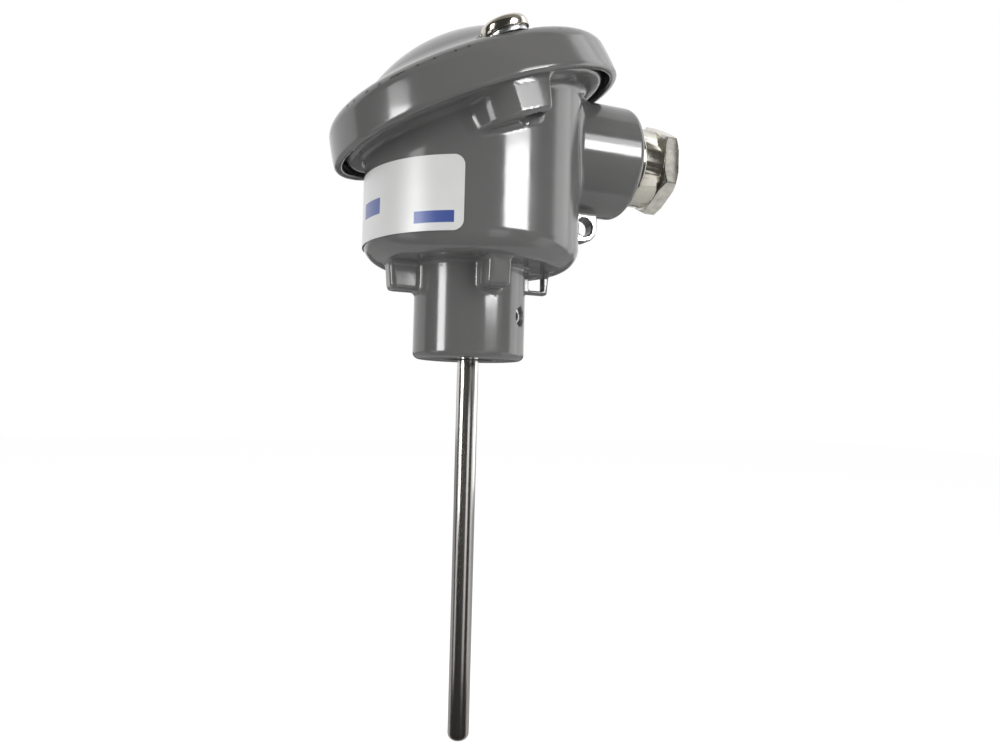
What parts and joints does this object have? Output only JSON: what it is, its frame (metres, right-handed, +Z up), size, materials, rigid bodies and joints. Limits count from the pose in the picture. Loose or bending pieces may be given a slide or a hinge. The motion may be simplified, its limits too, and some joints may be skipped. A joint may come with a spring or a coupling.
{
  "type": "resistance thermometer with connection head",
  "caption": "Straight thin probe under a round connection head with a tilted screwed cap, a cable gland at the side and terminals inside.",
  "frame": {"origin": "centre of the neck's bottom face, on the stem's axis", "axes": "+Z up along the stem towards the head, +X towards the cable gland"},
  "size_m": [0.1026, 0.084, 0.1992],
  "materials": {
    "grey_painted_aluminium": "gloss",
    "nickel": "nickel-plated, polished",
    "stainless": "drawn tube, satin",
    "screw_steel": "plain",
    "brass": "turned",
    "black_rubber": "matt",
    "white_ceramic": "unglazed",
    "label_foil": "silver-white film",
    "red_sleeve": "satin",
    "white_sleeve": "satin"
  },
  "bodies": {
    "head": {"head_body": "grey_painted_aluminium", "gland_washer": "black_rubber", "gland_body": "nickel", "gland_seal": "black_rubber", "label": "label_foil", "neck_bush": "brass", "stem_sheath": "stainless", "insulator_rod": "white_ceramic", "sensing_element": "white_ceramic", "lead_wires_red": "red_sleeve", "lead_wires_white": "white_sleeve", "terminal_block": "white_ceramic", "block_screws": "screw_steel", "terminal_plates": "brass"},
    "cap": {"head_cap": "grey_painted_aluminium", "cap_gasket": "black_rubber"},
    "front_washer": {"cap_washer_front": "screw_steel"},
    "front_screw": {"cap_screw_front": "nickel"},
    "back_washer": {"cap_washer_back": "screw_steel"},
    "back_screw": {"cap_screw_back": "nickel"},
    "thrust_ring": {"gland_thrust_ring": "brass"},
    "nut": {"gland_nut": "nickel"},
    "grub_screw": {"grub_screw": "screw_steel"},
    "earth_clamp": {"earth_clamp": "brass"},
    "earth_screw": {"earth_screw": "brass"},
    "clamp_1": {"terminal_clamp_1": "brass"},
    "screw_1": {"terminal_screw_1": "nickel"},
    "clamp_2": {"terminal_clamp_2": "brass"},
    "screw_2": {"terminal_screw_2": "nickel"},
    "clamp_3": {"terminal_clamp_3": "brass"},
    "screw_3": {"terminal_screw_3": "nickel"},
    "clamp_4": {"terminal_clamp_4": "brass"},
    "screw_4": {"terminal_screw_4": "nickel"}
  },
  "joints": [
    {"name": "cap_lift", "type": "slide", "parent": "head", "child": "cap", "axis": [-0.3584, 0, 0.9336], "range_m": [0, 0.05]},
    {"name": "front_screw_lift", "type": "slide", "parent": "cap", "child": "front_washer", "axis": [-0.3584, 0, 0.9336], "range_m": [0, 0.0065]},
    {"name": "front_screw_turn", "type": "hinge", "parent": "front_washer", "child": "front_screw", "pos_m": [-0.00365, -0.0335, 0.07745], "axis": [-0.3584, 0, 0.9336], "range_deg": [0, 2340]},
    {"name": "back_screw_lift", "type": "slide", "parent": "cap", "child": "back_washer", "axis": [-0.3584, 0, 0.9336], "range_m": [0, 0.0065]},
    {"name": "back_screw_turn", "type": "hinge", "parent": "back_washer", "child": "back_screw", "pos_m": [-0.00365, 0.0335, 0.07745], "axis": [-0.3584, 0, 0.9336], "range_deg": [0, 2340]},
    {"name": "gland_nut_lift", "type": "slide", "parent": "head", "child": "thrust_ring", "axis": [1, 0, 0], "range_m": [0, 0.0045]},
    {"name": "gland_nut_turn", "type": "hinge", "parent": "thrust_ring", "child": "nut", "pos_m": [0.0475, 0, 0.0624], "axis": [1, 0, 0], "range_deg": [0, 1080]},
    {"name": "grub_screw_turn", "type": "hinge", "parent": "head", "child": "grub_screw", "pos_m": [0, 0, 0.0121], "axis": [0.7071, -0.7071, 0], "range_deg": [0, 720]},
    {"name": "terminal_1_lift", "type": "slide", "parent": "head", "child": "clamp_1", "axis": [0, 0, 1], "range_m": [0, 0.0015]},
    {"name": "terminal_1_turn", "type": "hinge", "parent": "clamp_1", "child": "screw_1", "pos_m": [0.012, 0.007, 0.046], "axis": [0, 0, 1], "range_deg": [0, 1080]},
    {"name": "terminal_2_lift", "type": "slide", "parent": "head", "child": "clamp_2", "axis": [0, 0, 1], "range_m": [0, 0.0015]},
    {"name": "terminal_2_turn", "type": "hinge", "parent": "clamp_2", "child": "screw_2", "pos_m": [-0.012, 0.007, 0.046], "axis": [0, 0, 1], "range_deg": [0, 1080]},
    {"name": "terminal_3_lift", "type": "slide", "parent": "head", "child": "clamp_3", "axis": [0, 0, 1], "range_m": [0, 0.0015]},
    {"name": "terminal_3_turn", "type": "hinge", "parent": "clamp_3", "child": "screw_3", "pos_m": [-0.012, -0.007, 0.046], "axis": [0, 0, 1], "range_deg": [0, 1080]},
    {"name": "terminal_4_lift", "type": "slide", "parent": "head", "child": "clamp_4", "axis": [0, 0, 1], "range_m": [0, 0.0015]},
    {"name": "terminal_4_turn", "type": "hinge", "parent": "clamp_4", "child": "screw_4", "pos_m": [0.012, -0.007, 0.046], "axis": [0, 0, 1], "range_deg": [0, 1080]},
    {"name": "earth_lift", "type": "slide", "parent": "head", "child": "earth_clamp", "axis": [0, 0, 1], "range_m": [0, 0.0014]},
    {"name": "earth_turn", "type": "hinge", "parent": "earth_clamp", "child": "earth_screw", "pos_m": [-0.02067, 0.01193, 0.034], "axis": [0, 0, 1], "range_deg": [0, 720]}
  ],
  "couplings": [
    {"joint": "front_screw_turn", "follows": "front_screw_lift", "rad_per_m": 6283.2},
    {"joint": "back_screw_turn", "follows": "back_screw_lift", "rad_per_m": 6283.2},
    {"joint": "gland_nut_turn", "follows": "gland_nut_lift", "rad_per_m": 4188.8},
    {"joint": "terminal_1_turn", "follows": "terminal_1_lift", "rad_per_m": 12566},
    {"joint": "terminal_2_turn", "follows": "terminal_2_lift", "rad_per_m": 12566},
    {"joint": "terminal_3_turn", "follows": "terminal_3_lift", "rad_per_m": 12566},
    {"joint": "terminal_4_turn", "follows": "terminal_4_lift", "rad_per_m": 12566},
    {"joint": "earth_turn", "follows": "earth_lift", "rad_per_m": 8976}
  ]
}
